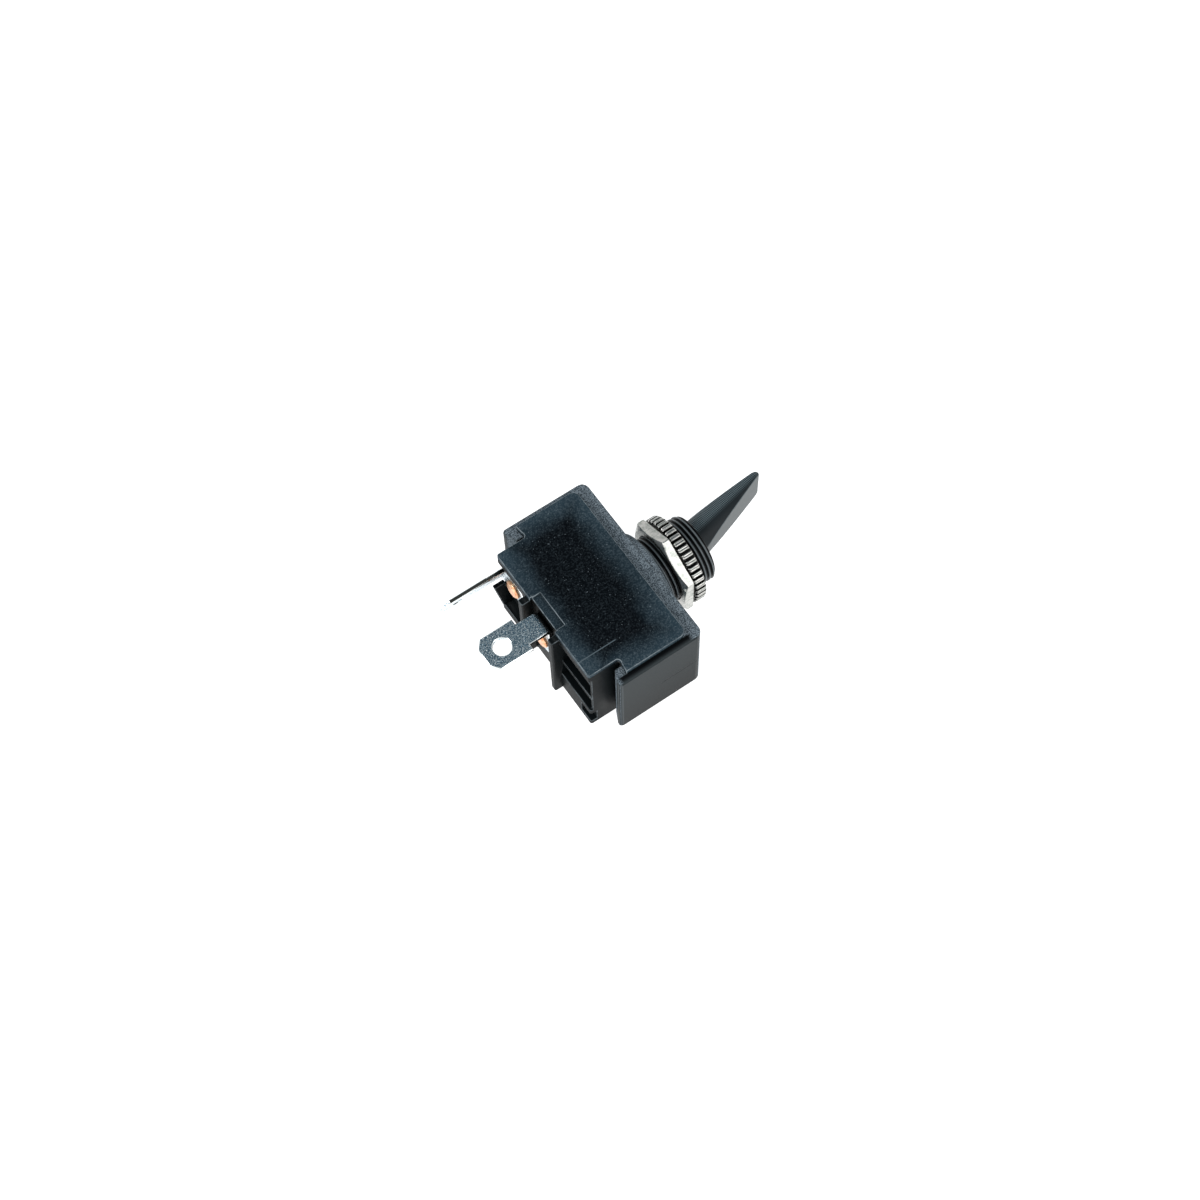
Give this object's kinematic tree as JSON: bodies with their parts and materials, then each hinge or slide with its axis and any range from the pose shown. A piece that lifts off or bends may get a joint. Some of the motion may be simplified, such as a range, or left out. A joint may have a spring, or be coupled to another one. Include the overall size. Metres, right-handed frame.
{
  "type": "panel toggle switch",
  "caption": "Panel toggle switch: flat tapered lever on a threaded bushing with a hex nut and a knurled nut, rectangular black body, blade terminals at the back.",
  "frame": {"origin": "on the bushing's axis, in the plane of the boss face that seats against the back of the panel", "axes": "+X out along the bushing towards the lever, +Y along the long side of the body towards the end terminal, +Z the normal of the flat side plate; the switch lies on its other side plate, whose face is at z = -9.35 mm"},
  "size_m": [0.0563, 0.0334, 0.0186],
  "materials": {
    "cover_nylon": "fine-textured black glass-filled nylon",
    "base_moulding": "smooth black thermoset moulding",
    "seal_rubber": "black nitrile rubber",
    "lever_nylon": "black nylon with a fine crosshatch",
    "pin_steel": "plain steel wire",
    "plunger_acetal": "natural acetal",
    "contact_copper": "stamped copper strip",
    "contact_silver": "silver contact",
    "terminal_plate": "tin-plated strip",
    "rivet_copper": "bright copper rivet",
    "nut_nickel": "nickel-plated brass"
  },
  "bodies": {
    "body": {"bushing_cover": "cover_nylon", "terminal_base": "base_moulding", "cover_gasket": "seal_rubber", "lever_pin": "pin_steel", "lever_oring": "seal_rubber", "rocker_saddle": "contact_copper", "fixed_contact": "contact_silver", "centre_terminal": "terminal_plate", "centre_rivet": "rivet_copper", "end_terminal": "terminal_plate", "end_rivet": "rivet_copper"},
    "lever": {"toggle_lever": "lever_nylon", "plunger_spring": "pin_steel"},
    "plunger": {"plunger": "plunger_acetal"},
    "rocker": {"rocker_contact": "contact_copper", "rocker_button": "contact_silver"},
    "hex_nut": {"hex_nut": "nut_nickel"},
    "knurled_nut": {"knurled_nut": "nut_nickel"}
  },
  "joints": [
    {"name": "lever_tilt", "type": "hinge", "parent": "body", "child": "lever", "pos_m": [0.005, 0, 0], "axis": [0, 0, -1], "range_deg": [0, 23]},
    {"name": "plunger_slide", "type": "slide", "parent": "lever", "child": "plunger", "axis": [0.9799, 0.1994, 0], "range_m": [0, 0.0008], "deforming": ["plunger_spring"]},
    {"name": "rocker_tilt", "type": "hinge", "parent": "body", "child": "rocker", "pos_m": [-0.0131, 0, 0], "axis": [0, 0, 1], "range_deg": [0, 11.5]},
    {"name": "hex_nut_turn", "type": "hinge", "parent": "body", "child": "hex_nut", "pos_m": [0.00293, 0, 0], "axis": [1, 0, 0], "continuous": true},
    {"name": "knurled_nut_turn", "type": "hinge", "parent": "body", "child": "knurled_nut", "pos_m": [0.005, 0, 0], "axis": [1, 0, 0], "continuous": true}
  ],
  "couplings": [
    {"joint": "rocker_tilt", "follows": "lever_tilt", "ratio": 0.5}
  ]
}
